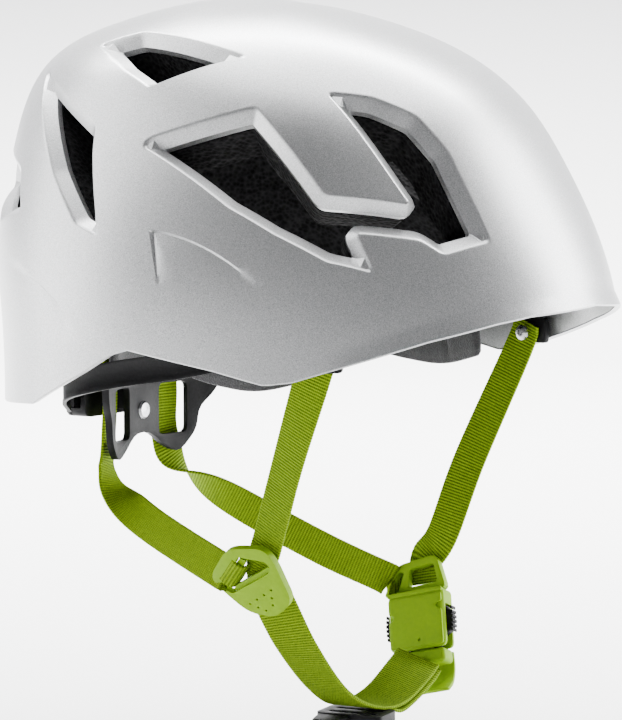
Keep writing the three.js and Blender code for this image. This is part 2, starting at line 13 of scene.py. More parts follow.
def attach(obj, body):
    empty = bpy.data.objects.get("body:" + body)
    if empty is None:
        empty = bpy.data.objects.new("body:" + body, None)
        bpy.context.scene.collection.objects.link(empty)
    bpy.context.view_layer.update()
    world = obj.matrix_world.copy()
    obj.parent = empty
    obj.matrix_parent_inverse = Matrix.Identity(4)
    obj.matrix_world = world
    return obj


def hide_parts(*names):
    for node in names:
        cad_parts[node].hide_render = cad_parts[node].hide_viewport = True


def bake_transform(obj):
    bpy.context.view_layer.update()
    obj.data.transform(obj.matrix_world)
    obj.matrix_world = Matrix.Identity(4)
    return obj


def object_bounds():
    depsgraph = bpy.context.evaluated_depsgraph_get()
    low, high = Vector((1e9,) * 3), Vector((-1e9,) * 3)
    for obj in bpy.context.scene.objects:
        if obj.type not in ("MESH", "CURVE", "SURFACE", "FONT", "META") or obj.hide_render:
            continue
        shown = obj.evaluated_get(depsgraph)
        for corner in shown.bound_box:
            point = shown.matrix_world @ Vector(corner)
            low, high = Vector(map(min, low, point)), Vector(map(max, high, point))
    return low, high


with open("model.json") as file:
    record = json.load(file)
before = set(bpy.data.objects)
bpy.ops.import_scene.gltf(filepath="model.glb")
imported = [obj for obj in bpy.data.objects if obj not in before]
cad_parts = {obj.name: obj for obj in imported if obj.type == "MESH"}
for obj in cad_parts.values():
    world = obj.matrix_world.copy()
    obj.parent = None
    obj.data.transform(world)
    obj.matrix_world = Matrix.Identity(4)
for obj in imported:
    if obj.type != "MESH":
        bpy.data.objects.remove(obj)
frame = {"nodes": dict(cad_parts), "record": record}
cad_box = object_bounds()

MM = 0.001
RIB = 0.0013  # metres from one rib of the webbing to the next
YARN = 0.0008  # metres between the yarns across it

# ---------- the outer form
# The same form as the CAD shell: mm from the origin, a row for each direction round the head
# from front to rear, a column for each angle down from the crown.
DOWN_FROM_CROWN = [0, 18, 36, 50, 64, 80, 96, 112, 130]
OFFSETS = [
    [122, 119, 121, 123, 124, 129, 137, 148, 173],
    [122, 120, 121, 120, 117, 118, 122, 132, 155],
    [122, 122, 119, 113, 108, 105, 105, 112, 134],
    [122, 127, 133, 133, 127, 123, 122, 130, 154],
    [122, 131, 143, 154, 147, 141, 137, 146, 171],
]
# The shell's lower rim: degrees round from the front, height in mm.
RIM = [
    (0, -1), (18, -3.5), (25, -6), (37, -12), (49, -20), (62, -28.5), (68, -30), (80, -25),
    (97, -20), (102, -18.5), (107, -21), (115, -29), (124, -37), (132, -44), (150, -46.5),
    (180, -47),
]
# Corners of the vents of one side: degrees round from the front, elevation in degrees.
VENTS = {
    "top": [
        (140, 50), (130, 57), (112, 59), (91, 58), (80, 56), (90, 54), (101, 50), (109, 46),
        (122, 48),
    ],
    "rear": [
        (152, 41), (140, 34), (129, 25), (118, 16), (111, 14), (113, 20), (118, 31), (120, 36),
        (139, 40),
    ],
    "side": [
        (104, 34), (102, 36), (89, 40), (73, 43), (55, 23), (38, 20), (54, 45), (42, 43),
        (32, 38), (27, 30), (23, 12), (33, 10), (37, 13), (49, 15), (46, 7), (55, 9.5),
        (66, 15.5), (77, 21.5),
    ],
    "back": [(165, 26), (168, 18), (152, 13), (138, 16), (143, 24)],
}


def natural_spline(x, y):
    """Second derivatives of the natural cubic spline through (x, y)."""
    n = len(x)
    second, sweep = np.zeros(n), np.zeros(n)
    for i in range(1, n - 1):
        ratio = (x[i] - x[i - 1]) / (x[i + 1] - x[i - 1])
        p = ratio * second[i - 1] + 2
        bend = (y[i + 1] - y[i]) / (x[i + 1] - x[i]) - (y[i] - y[i - 1]) / (x[i] - x[i - 1])
        second[i] = (ratio - 1) / p
        sweep[i] = (6 * bend / (x[i + 1] - x[i - 1]) - ratio * sweep[i - 1]) / p
    for i in range(n - 2, -1, -1):
        second[i] = second[i] * second[i + 1] + sweep[i]
    return second


ANGLES = np.array([-d for d in DOWN_FROM_CROWN[:0:-1]] + DOWN_FROM_CROWN, float)
PROFILES = [
    np.array(OFFSETS[len(OFFSETS) - 1 - k][:0:-1] + row, float) for k, row in enumerate(OFFSETS)
]
SECONDS = [natural_spline(ANGLES, row) for row in PROFILES]


def form_radius(down, around):
    """Radius of the outer form in mm, for arrays of angles in radians."""
    at = np.degrees(down)
    i = np.clip(np.searchsorted(ANGLES, at), 1, len(ANGLES) - 1)
    h = ANGLES[i] - ANGLES[i - 1]
    a = (ANGLES[i] - at) / h
    b = 1 - a
    rows = []
    for y, s in zip(PROFILES, SECONDS):
        curve = ((a**3 - a) * s[i - 1] + (b**3 - b) * s[i]) * h * h / 6
        rows.append(a * y[i - 1] + b * y[i] + curve)
    last = len(rows) - 1
    total = 0
    for k in range(last + 1):
        term = (rows[0] + rows[last] * math.cos(math.pi * k)) / 2
        for j in range(1, last):
            term = term + rows[j] * math.cos(math.pi * j * k / last)
        weight = (1 if k in (0, last) else 2) / last
        total = total + weight * term * np.cos(k * around)
    return total


def form_at(down, around):
    """Radius of the outer form in mm, at one place."""
    return float(form_radius(np.array([down]), np.array([around]))[0])


def directions(down, around):
    """Unit vectors at angles down from the crown and round from the front."""
    flat = np.sin(down)
    return np.stack([flat * np.cos(around), flat * np.sin(around), np.cos(down)], -1)


def rim_height(around):
    """Height in mm of the shell's lower rim, at angles round from the front."""
    degrees = np.degrees(np.abs(np.arctan2(np.sin(around), np.cos(around))))
    return np.interp(degrees, [r[0] for r in RIM], [r[1] for r in RIM])


HALVINGS = 30  # of the range in which the angle is sought


def down_to(height, around, inset=0.0):
    """The angle down from the crown where the form, set in by inset mm, reaches a height."""
    low = np.full_like(around, math.radians(40))
    high = np.full_like(around, math.radians(DOWN_FROM_CROWN[-1]))
    for _ in range(HALVINGS):
        middle = (low + high) / 2
        above = (form_radius(middle, around) - inset) * np.cos(middle) > height
        low, high = np.where(above, middle, low), np.where(above, high, middle)
    return low


# ---------- outlines on the form
def to_chart(d):
    """Directions to the flat chart: degrees from the crown, laid out round it."""
    down = np.degrees(np.arccos(np.clip(d[:, 2], -1, 1)))
    around = np.arctan2(d[:, 1], d[:, 0])
    return np.stack([down * np.cos(around), down * np.sin(around)], -1)


def from_chart(p):
    """Points of the flat chart to angles down and round, in radians."""
    return np.radians(np.hypot(p[:, 0], p[:, 1])), np.arctan2(p[:, 1], p[:, 0])


class Patch:
    """A local flat chart, in degrees, about the middle of an outline."""

    def __init__(self, outline, side):
        around = np.radians([side * o[0] for o in outline])
        down = np.radians([90 - o[1] for o in outline])
        d = directions(down, around)
        self.out = d.mean(0) / np.linalg.norm(d.mean(0))
        self.east = np.cross([0, 0, 1.0], self.out)
        self.east /= np.linalg.norm(self.east)
        self.north = np.cross(self.out, self.east)
        self.corners = self.flat(d)
        if signed_area(self.corners) < 0:
            self.corners = self.corners[::-1]

    def flat(self, d):
        """Directions to points of this chart."""
        reach = np.degrees(np.arccos(np.clip(d @ self.out, -1, 1)))
        x, y = d @ self.east, d @ self.north
        size = np.maximum(np.hypot(x, y), 1e-9)
        return np.stack([x / size * reach, y / size * reach], -1)

    def lift(self, p):
        """Points of this chart back to directions."""
        reach = np.radians(np.hypot(p[:, 0], p[:, 1]))
        size = np.maximum(np.hypot(p[:, 0], p[:, 1]), 1e-9)
        x, y = p[:, 0] / size * np.sin(reach), p[:, 1] / size * np.sin(reach)
        out = np.cos(reach)[:, None] * self.out
        return out + x[:, None] * self.east + y[:, None] * self.north


def signed_area(p):
    """Area of a closed loop, positive when it runs anticlockwise."""
    q = np.roll(p, -1, 0)
    return 0.5 * np.sum(p[:, 0] * q[:, 1] - q[:, 0] * p[:, 1])


CORNER_REACH = 0.45  # the most of an edge that one rounded corner takes
CORNER_POINTS = 7


def rounded(corners, radius, step):
    """A closed outline with rounded corners, as evenly spaced points."""
    points = []
    n = len(corners)
    for i in range(n):
        corner, before, after = corners[i], corners[i - 1], corners[(i + 1) % n]
        to_before, to_after = before - corner, after - corner
        a, b = np.linalg.norm(to_before), np.linalg.norm(to_after)
        start = corner + to_before / a * min(radius, CORNER_REACH * a)
        stop = corner + to_after / b * min(radius, CORNER_REACH * b)
        for t in np.linspace(0, 1, CORNER_POINTS):
            points.append((1 - t) ** 2 * start + 2 * t * (1 - t) * corner + t * t * stop)
    return even(np.array(points), step)


def even(points, step):
    """A closed loop redrawn as points about a step apart."""
    loop = np.vstack([points, points[:1]])
    run = np.concatenate([[0], np.cumsum(np.linalg.norm(np.diff(loop, axis=0), axis=1))])
    count = max(3, int(round(run[-1] / step)))
    at = np.linspace(0, run[-1], count, endpoint=False)
    return np.stack([np.interp(at, run, loop[:, k]) for k in range(2)], -1)


def distance_to(points, loop, closed=True):
    """Distance from each point to a polyline."""
    a = loop
    b = np.roll(loop, -1, 0) if closed else loop[1:]
    a = a if closed else loop[:-1]
    best = np.full(len(points), 1e9)
    for p, q in zip(a, b):
        along = q - p
        t = np.clip(((points - p) @ along) / max(along @ along, 1e-12), 0, 1)
        best = np.minimum(best, np.linalg.norm(points - p - t[:, None] * along, axis=1))
    return best


def offset(loop, inwards, step):
    """The loop moved inwards, or outwards if negative, with its crossings removed."""
    tangent = np.roll(loop, -1, 0) - np.roll(loop, 1, 0)
    tangent /= np.linalg.norm(tangent, axis=1)[:, None]
    normal = np.stack([-tangent[:, 1], tangent[:, 0]], -1)
    moved = loop + normal * inwards
    # Where the moved loop crosses itself, its points come closer than this to the first loop.
    keep = distance_to(moved, loop) > abs(inwards) * 0.97
    return even(moved[keep], step)


def inside(points, loop):
    """Which points lie inside a closed loop."""
    x, y = points[:, 0], points[:, 1]
    hit = np.zeros(len(points), bool)
    for (x0, y0), (x1, y1) in zip(loop, np.roll(loop, -1, 0)):
        crosses = (y0 > y) != (y1 > y)
        hit ^= crosses & (x < (x1 - x0) * (y - y0) / ((y1 - y0) or 1e-12) + x0)
    return hit


# ---------- pieces and materials
SIDES = ((1, "left"), (-1, "right"))


def linked(name, data):
    obj = bpy.data.objects.new(name, data)
    bpy.context.scene.collection.objects.link(obj)
    return obj


def dressed(name, mesh, look, body="helmet", node=None, sharp=None):
    """A smooth mesh as a piece, with edges sharp above an angle in degrees. It stands for a CAD
    node where one is named. Its body is a name, or a tuple (first, second, start, end) with both
    ends in metres, for which the piece is only baked in place and attached to no body."""
    mesh.materials.append(look)
    mesh.polygons.foreach_set("use_smooth", [True] * len(mesh.polygons))
    if sharp:
        mesh.set_sharp_from_angle(angle=math.radians(sharp))
    obj = linked(name, mesh)
    if isinstance(body, tuple):
        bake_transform(obj)
    else:
        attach(obj, body)
    if node:
        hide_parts(node)
    return obj


def piece(name, vertices, faces, look, slot, body="helmet", node=None, sharp=None, uv=None):
    """A piece from numpy vertices in metres."""
    mesh = bpy.data.meshes.new(name)
    mesh.from_pydata([tuple(v) for v in vertices], [], [tuple(f) for f in faces])
    if uv is not None:
        layer = mesh.uv_layers.new(name="run")
        loops = np.zeros(len(mesh.loops), np.int32)
        mesh.loops.foreach_get("vertex_index", loops)
        layer.data.foreach_set("uv", uv[loops].ravel())
    mesh.validate()
    mesh.update()
    return dressed(name, mesh, look, body, node, sharp)


class Nodes:
    """A small helper that builds a material's node tree."""

    def __init__(self, name):
        self.material = bpy.data.materials.new(name)
        self.material.use_nodes = True
        self.tree = self.material.node_tree
        self.tree.nodes.clear()
        self.shader = self.add("ShaderNodeBsdfPrincipled")
        output = self.add("ShaderNodeOutputMaterial")
        self.link(self.shader.outputs["BSDF"], output.inputs["Surface"])
        self.place = self.add("ShaderNodeTexCoord").outputs["Object"]

    def add(self, kind, **values):
        node = self.tree.nodes.new(kind)
        for key, value in values.items():
            if hasattr(node, key):
                setattr(node, key, value)
            else:
                node.inputs[key].default_value = value
        return node

    def link(self, a, b):
        self.tree.links.new(a, b)

    def set(self, **values):
        for key, value in values.items():
            self.shader.inputs[key.replace("_", " ")].default_value = value

    def noise(self, scale, detail):
        node = self.add("ShaderNodeTexNoise", Scale=scale, Detail=detail)
        self.link(self.place, node.inputs["Vector"])
        return node.outputs["Fac"]

    def cells(self, scale):
        node = self.add("ShaderNodeTexVoronoi", Scale=scale)
        self.link(self.place, node.inputs["Vector"])
        return node.outputs["Distance"]

    def spread(self, value, low, high, to_low, to_high):
        """The value moved from one range to another."""
        node = self.add("ShaderNodeMapRange")
        self.link(value, node.inputs["Value"])
        for socket, limit in zip(node.inputs[1:5], (low, high, to_low, to_high)):
            socket.default_value = limit
        return node.outputs["Result"]

    def colours(self, value, a, b, low=0.3, high=0.7):
        """Colour a where the value is low, b where it is high."""
        ramp = self.add("ShaderNodeValToRGB")
        for end, at, colour in zip(ramp.color_ramp.elements, (low, high), (a, b)):
            end.position = at
            end.color = (*colour, 1)
        self.link(value, ramp.inputs["Fac"])
        return ramp.outputs["Color"]

    def base(self, colour):
        self.link(colour, self.shader.inputs["Base Color"])

    def rough(self, value):
        self.link(value, self.shader.inputs["Roughness"])

    def math(self, operation, *values):
        node = self.add("ShaderNodeMath", operation=operation)
        for socket, value in zip(node.inputs, values):
            if isinstance(value, (int, float)):
                socket.default_value = value
            else:
                self.link(value, socket)
        return node.outputs["Value"]

    def mix(self, a, share_a, b, share_b):
        """The sum of two values, each taken by its share."""
        first, second = self.math("MULTIPLY", a, share_a), self.math("MULTIPLY", b, share_b)
        return self.math("ADD", first, second)

    def bump(self, height, distance, strength, after=None):
        """A raised surface, distance in metres, on top of an earlier one."""
        node = self.add("ShaderNodeBump", Distance=distance, Strength=strength)
        self.link(height, node.inputs["Height"])
        if after is not None:
            self.link(after, node.inputs["Normal"])
        self.link(node.outputs["Normal"], self.shader.inputs["Normal"])
        return node.outputs["Normal"]


def shell_material():
    """Silver paint with fine flakes under a thin clear coat."""
    n = Nodes("shell_silver")
    n.set(Metallic=0.9, Coat_Weight=0.25, Coat_Roughness=0.2)
    flakes = n.noise(2600, 1.0)
    clouds = n.noise(9, 3.0)
    n.base(n.colours(flakes, (0.29, 0.295, 0.30), (0.60, 0.605, 0.61), 0.25, 0.75))
    haze = n.math("ADD", flakes, n.math("MULTIPLY", clouds, 0.25))
    n.rough(n.spread(haze, 0.3, 0.9, 0.30, 0.42))
    n.bump(flakes, 0.00006, 0.5)
    return n.material


def foam_material():
    """Black foam pressed from beads."""
    n = Nodes("bead_foam")
    beads = n.cells(520)
    patches = n.noise(160, 4.0)
    level = n.mix(beads, 0.6, patches, 0.7)
    n.base(n.colours(level, (0.0015, 0.0015, 0.0018), (0.016, 0.016, 0.017), 0.45, 1.0))
    n.set(Roughness=0.85, Specular_IOR_Level=0.08)
    n.bump(patches, 0.0012, 0.6, n.bump(beads, 0.0009, 0.8))
    return n.material


def plastic_material(name, dark, light, grain=900, rough=(0.38, 0.55)):
    """Grained moulded plastic, rubbed smoother in places."""
    n = Nodes(name)
    texture = n.noise(grain, 3.0)
    wear = n.noise(60, 4.0)
    n.base(n.colours(n.mix(texture, 0.5, wear, 0.5), dark, light))
    n.set(Specular_IOR_Level=0.12)
    n.rough(n.spread(wear, 0.3, 0.7, *rough))
    n.bump(texture, 0.00012, 0.5)
    return n.material


def webbing_material(name, dark, light):
    """Woven webbing: the ribs are in the mesh, and this adds the yarns along each rib."""
    n = Nodes(name)
    run = n.add("ShaderNodeUVMap", uv_map="run").outputs["UV"]
    split = n.add("ShaderNodeSeparateXYZ")
    n.link(run, split.inputs["Vector"])
    along = n.math("SINE", n.math("MULTIPLY", split.outputs["X"], 2 * math.pi / RIB))
    across = n.math("SINE", n.math("MULTIPLY", split.outputs["Y"], 2 * math.pi / YARN))
    weave = n.mix(along, 0.5, across, 0.22)
    fuzz = n.noise(1400, 4.0)
    level = n.mix(weave, 0.42, fuzz, 0.6)
    n.base(n.colours(level, dark, light, 0.0, 0.75))
    n.set(Roughness=0.85, Specular_IOR_Level=0.12)
    n.bump(level, 0.0002, 0.7)
    return n.material


def cloth_material(name, dark, light):
    """Knitted pad cover."""
    n = Nodes(name)
    knit = n.cells(1500)
    fuzz = n.noise(900, 4.0)
    n.base(n.colours(n.math("ADD", knit, n.math("MULTIPLY", fuzz, 0.5)), dark, light, 0.2, 0.9))
    n.set(Roughness=0.92, Sheen_Weight=0.25, Sheen_Roughness=0.5)
    n.bump(knit, 0.0004, 0.6)
    return n.material


def metal_material():
    """Plated steel with fine scratches."""
    n = Nodes("nickel_steel")
    scratches = n.noise(700, 4.0)
    n.base(n.colours(scratches, (0.42, 0.42, 0.44), (0.62, 0.62, 0.63)))
    n.set(Metallic=1.0)
    n.rough(n.spread(scratches, 0.3, 0.7, 0.22, 0.42))
    n.bump(scratches, 0.00008, 0.4)
    return n.material


BLACK = ((0.003, 0.003, 0.0035), (0.009, 0.009, 0.010))
SHELL_LOOK = shell_material()
FOAM_LOOK = foam_material()
DARK_PLASTIC = plastic_material("dark_plastic", *BLACK)
BLACK_PLASTIC = plastic_material("black_plastic", *BLACK)
GREEN_PLASTIC = plastic_material(
    "green_plastic", (0.155, 0.285, 0.0), (0.20, 0.35, 0.0), 700, (0.45, 0.58)
)
WEBBING_LOOK = webbing_material("green_webbing", (0.045, 0.085, 0.0), (0.25, 0.40, 0.0))
PAD_LOOK = cloth_material("pad_cover", (0.010, 0.010, 0.011), (0.040, 0.040, 0.042))
STEEL_LOOK = metal_material()


# ---------- the camera and the light
VIEW_AROUND, VIEW_UP = math.radians(31), math.radians(3.5)
VIEW_FAR = 1.3  # metres
LENS = 153.4  # mm
BACK = Vector((
    math.sin(VIEW_AROUND) * math.cos(VIEW_UP),
    -math.cos(VIEW_AROUND) * math.cos(VIEW_UP),
    math.sin(VIEW_UP),
))
RIGHT = Vector((math.cos(VIEW_AROUND), math.sin(VIEW_AROUND), 0))
UP = BACK.cross(RIGHT)
VIEW_MIDDLE = RIGHT * 0.0017 - UP * 0.0284


def aimed(name, data, at, towards):
    """A camera or light that looks from one point towards another."""
    obj = linked(name, data)
    obj.location = at
    obj.rotation_euler = (Vector(at) - Vector(towards)).to_track_quat("Z", "Y").to_euler()
    return obj


def camera():
    data = bpy.data.cameras.new("camera")
    data.lens = LENS
    obj = aimed("camera", data, BACK * VIEW_FAR, VIEW_MIDDLE)
    data.clip_start = 0.05
    data.clip_end = 50
    bpy.context.scene.camera = obj


def light(name, at, size, power, towards=(0, 0, 0)):
    data = bpy.data.lights.new(name, "AREA")
    data.shape = "RECTANGLE"
    data.size, data.size_y = size
    data.energy = power
    aimed(name, data, at, towards)


def studio():
    world = bpy.data.worlds.new("studio")
    bpy.context.scene.world = world
    world.use_nodes = True
    background = world.node_tree.nodes["Background"]
    background.inputs["Color"].default_value = (0.80, 0.81, 0.83, 1)
    background.inputs["Strength"].default_value = 0.14
    light("top_softbox", (0.0, 0.15, 1.2), (1.5, 1.3), 36)
    light("rear_softbox", RIGHT * -1.25 + BACK * -0.1 + UP * 0.45, (0.8, 1.4), 20)
    light("front_softbox", RIGHT * 1.2 + BACK * -0.25 + UP * 0.35, (0.6, 1.4), 44)
    light("backdrop_light", BACK * -0.9 + UP * 1.9, (3.2, 0.6), 560, BACK * -2.9)
    floor_and_backdrop()


FLOOR_DROP = 0.030  # metres below the helmet, so that the buckle can be drawn out over the floor
FLAT = 2.2  # radius of the level floor
CURVE = 0.9  # radius of its curve up into the wall
WALL = (3.2, 2.6)  # radius and height of the wall's top


def floor_and_backdrop():
    """A round floor that curves up into a low wall on every side, the wall painted darker towards
    its top as shade.
    """
    bottom = cad_box[0][2] - FLOOR_DROP
    profile = [(r, 0.0) for r in (0.3, 0.8, 1.5, FLAT)]
    profile += [
        (FLAT + CURVE * math.sin(t), CURVE - CURVE * math.cos(t))
        for t in np.linspace(0.15, 1.45, 10)
    ]
    profile.append(WALL)
    steps = 72
    vertices, faces = [(0, 0, bottom)], []
    for i, (reach, height) in enumerate(profile):
        for k in range(steps):
            a = 2 * math.pi * k / steps
            vertices.append((reach * math.cos(a), reach * math.sin(a), bottom + height))
            here, following = 1 + i * steps + k, 1 + i * steps + (k + 1) % steps
            if i == 0:
                faces.append((0, here, following))
            else:
                faces.append((here - steps, here, following, following - steps))
    mesh = bpy.data.meshes.new("floor")
    mesh.from_pydata(vertices, [], faces)
    mesh.polygons.foreach_set("use_smooth", [True] * len(mesh.polygons))
    floor = linked("floor", mesh)
    n = Nodes("floor_with_painted_shade")
    parts = n.add("ShaderNodeSeparateXYZ")
    n.link(n.place, parts.inputs["Vector"])
    # The colour darkens up the wall. This is painted shade for the unlit room round the helmet,
    # which the shell's side towards the camera reflects. The noise adds faint mottling.
    painted_wall_shade = n.spread(parts.outputs["Z"], bottom + 0.02, bottom + 0.5, 0.0, 1.0)
    painted_wall_shade = n.math("ADD", painted_wall_shade, n.math("MULTIPLY", n.noise(3, 3.0), 0.05))
    n.base(n.colours(painted_wall_shade, (0.86, 0.86, 0.86), (0.30, 0.30, 0.305), 0.0, 1.0))
    n.set(Roughness=0.95, Specular_IOR_Level=0.1)
    floor.data.materials.append(n.material)


# ---------- shell and liner
EDGE = 0.12  # degrees either side of a vent's edge that the edge is rounded over
HOLD = 0.5  # degrees either side of it to the loops that keep the form beside it
BAND = 2.15  # degrees from a vent's edge to the foot of its sloping band
BAND_DEPTH = 4.4  # mm that the band slopes in
SHELL_WALL = 2.4
SHELL_STEP, FOAM_STEP = 1.5, 2.6  # degrees between the points that fill each surface


def vent_rings(outline, side):
    """Loops in the crown chart with the depth of each, from outside a vent's edge inwards."""
    patch = Patch(outline, side)
    edge = rounded(patch.corners, 1.0, 0.45)
    rings = []
    slope = BAND_DEPTH / BAND
    for distance in (-HOLD, -EDGE, EDGE, HOLD, BAND - 0.3, BAND):
        loop = offset(edge, distance, 0.8 if distance > HOLD else 0.6)
        rings.append((to_chart(patch.lift(loop)), max(0.0, distance) * slope))
    return rings


def triangulate(loops, fill, rim, holes):
    """Constrained triangles over flat loops of (points, closed), inside rim and outside holes."""
    points, edges = [], []
    for loop, closed in loops:
        first = len(points)
        points += [Vector(p) for p in loop]
        count = len(loop)
        last = count if closed else count - 1
        edges += [(first + i, first + (i + 1) % count) for i in range(last)]
    points += [Vector(p) for p in fill]
    flat, _, faces, _, _, _ = delaunay_2d_cdt(points, edges, [], 0, 1e-5)
    flat = np.array([tuple(p) for p in flat])
    faces = np.array([tuple(f) for f in faces])
    middle = flat[faces].mean(1)
    keep = inside(middle, rim)
    for hole in holes:
        keep &= ~inside(middle, hole)
    return flat, faces[keep]


LOWEST = 125  # degrees down from the crown, below every rim
ROW = 0.87  # height of a row of near-even triangles, for a step of 1


def fill_points(rim, step, loops, clearance):
    """Points spread evenly over the form, inside rim and clear of the loops."""
    points = [(0.0, 0.0)]
    down = step
    k = 0
    while down < LOWEST:
        count = max(6, int(round(360 * math.sin(math.radians(down)) / step)))
        k += 1
        for c in range(count):
            angle = 2 * math.pi * (c + 0.5 * (k % 2)) / count
            points.append((down * math.cos(angle), down * math.sin(angle)))
        down += step * ROW
    points = np.array(points)
    points = points[inside(points, rim)]
    for loop, closed in loops:
        points = points[distance_to(points, loop, closed) >= clearance]
    return points


def two_sided(flat, faces, outer, inner, steps=1):
    """A closed solid between two radius arrays over one triangulation."""
    down, around = from_chart(flat)
    d = directions(down, around)
    count = len(flat)
    corners = flat[faces]
    area = np.cross(corners[:, 1] - corners[:, 0], corners[:, 2] - corners[:, 0])
    faces = np.where((area < 0)[:, None], faces[:, ::-1], faces)
    layers = [d * (outer + (inner - outer) * t)[:, None] for t in np.linspace(0, 1, steps + 1)]
    seen = {e: True for a, b, c in faces for e in ((a, b), (b, c), (c, a))}
    border = [e for e in seen if (e[1], e[0]) not in seen]
    all_faces = [tuple(f) for f in faces] + [tuple(f[::-1] + steps * count) for f in faces]
    for a, b in border:
        for low in range(0, steps * count, count):
            high = low + count
            all_faces.append((b + low, a + low, a + high, b + high))
    vertices = np.vstack(layers)
    keep = np.unique(np.concatenate([np.array(f) for f in all_faces]))
    renumber = np.full(len(vertices), -1)
    renumber[keep] = np.arange(len(keep))
    return vertices[keep] * MM, [tuple(renumber[list(f)]) for f in all_faces]


# Corner, end of the short leg and end of the long leg of each crease of one side: degrees round
# from the front, elevation in degrees.
CREASES = [
    ((97, 16.6), (93.5, 4.0), (68, 4.0)),
    ((121.5, -0.5), (117.5, -5.5), (143, 7.0)),
]
CREASE_STEP = 0.5  # degrees over which the recessed side drops
CREASE_DEPTH = (1.5, 0.9)  # mm
CREASE_FADE = 3.5  # degrees over which the recess rises again
CREASE_CLEAR = 0.45  # degrees kept free of fill points beside a crease


def crease_legs():
    """For each crease: its corner, its depth, and the unit direction, length and inward normal
    of its two legs, in the crown chart."""
    creases = []
    for side in (1, -1):
        for places, depth in zip(CREASES, CREASE_DEPTH):
            local = []
            for around, up in places:
                a = math.radians(side * around)
                local.append(np.array([math.cos(a), math.sin(a)]) * (90 - up))
            corner, short, long = local
            legs = []
            for end, other in ((short, long), (long, short)):
                length = np.linalg.norm(end - corner)
                along = (end - corner) / length
                normal = np.array([-along[1], along[0]])
                if normal @ (other - corner) < 0:
                    normal = -normal
                legs.append((along, length, normal))
            creases.append((corner, depth, legs))
    return creases


def crease_lines():
    """Lines along both legs of each crease, and beside them, for the triangles to follow."""
    lines = []
    for corner, _, legs in crease_legs():
        for along, length, normal in legs:
            for aside in (0.0, CREASE_STEP, 3 * CREASE_STEP):
                start = 0.5 * aside / length
                t = np.linspace(start, 1, int(length / 0.8))[:, None]
                lines.append(corner + along * length * t + normal * aside)
    return lines


def crease_depth(points):
    """The side between the two legs starts with a step down and rises away from them."""
    total = np.zeros(len(points))
    for corner, depth, legs in crease_legs():
        s = np.stack([(points - corner) @ normal for _, _, normal in legs])
        t = np.stack([(points - corner) @ along / length for along, length, _ in legs])
        near = np.argmin(s, 0)
        pick = np.arange(len(points))
        s, t = s[near, pick], t[near, pick]
        fade = np.clip(1 - t, 0, 1) ** 0.8
        step = np.clip(s / CREASE_STEP, 0, 1)
        step = step * np.exp(-np.clip(s - CREASE_STEP, 0, None) / CREASE_FADE)
        total = np.maximum(total, depth * fade * step)
    return total


def rim_loop(height_above, count, inset=0.0):
    """A loop of the crown chart at a height above the shell's lower rim, in mm."""
    around = np.linspace(-math.pi, math.pi, count, endpoint=False)
    down = np.degrees(down_to(rim_height(around) + height_above, around, inset))
    return np.stack([down * np.cos(around), down * np.sin(around)], -1)


LIP = 6.5  # mm above the rim where the lip starts to turn outwards
LIP_OUT = 1.6  # mm
LIP_END, LIP_FADE = 58, 22  # degrees round where the lip ends, and over which it fades


def lip_flare(points):
    """The visor's lip turns outwards over the last few millimetres at the front."""
    down, around = from_chart(points)
    radius = form_radius(down, around)
    above = radius * np.cos(down) - rim_height(around)
    front = np.clip((LIP_END - np.degrees(np.abs(around))) / LIP_FADE, 0, 1)
    return -LIP_OUT * front * np.clip(1 - above / LIP, 0, 1)


RIM_ROUND = 0.6  # mm above the rim where its edge starts to round inwards
RIM_IN = 0.5  # mm


def outer_shell():
    """The shell with its vents, rims and creases. Returns the loops of each vent."""
    rim = rim_loop(0.0, 300)
    hold = rim_loop(RIM_ROUND + 0.1, 300)
    flare = rim_loop(LIP, 240)
    rings = [vent_rings(o, side) for o in VENTS.values() for side in (1, -1)]
    loops = [(rim, True), (hold, True), (flare, True)]
    loops += [(loop, True) for group in rings for loop, _ in group]
    creases = [(line, False) for line in crease_lines()]
    holes = [group[-1][0] for group in rings]
    fill = fill_points(rim, SHELL_STEP, loops, 0.5)
    fill = fill[~np.logical_or.reduce([inside(fill, group[0][0]) for group in rings])]
    for line, _ in creases:
        fill = fill[distance_to(fill, line, False) > CREASE_CLEAR]
    flat, faces = triangulate(loops + creases, fill, rim, holes)
    depth = np.zeros(len(flat))
    for group in rings:
        for loop, level in group[2:]:
            near = np.linalg.norm(flat[:, None] - loop[None], axis=2).min(1) < 1e-4
            depth[near] = level
    depth = depth + crease_depth(flat) + lip_flare(flat)
    down, around = from_chart(flat)
    radius = form_radius(down, around) - depth
    height = radius * np.cos(down) - rim_height(around)
    radius = radius - RIM_IN * np.clip(1 - height / RIM_ROUND, 0, 1)
    vertices, faces = two_sided(flat, faces, radius, radius - SHELL_WALL)
    piece("shell", vertices, faces, SHELL_LOOK, "shell", node="outer_shell", sharp=27)
    return rings


FOAM_TOP, FOAM_RIM = 7.6, 3.2  # mm from the form to the foam's outer face
FOAM_IN_TOP, FOAM_IN_RIM = 19, 12  # mm from the CAD liner's outer face to the foam's inner face
LINER_OUT = 4.6  # mm from the form to the CAD liner's outer face
FOAM_ABOVE = 14.0  # mm from the shell's rim up to the foam's


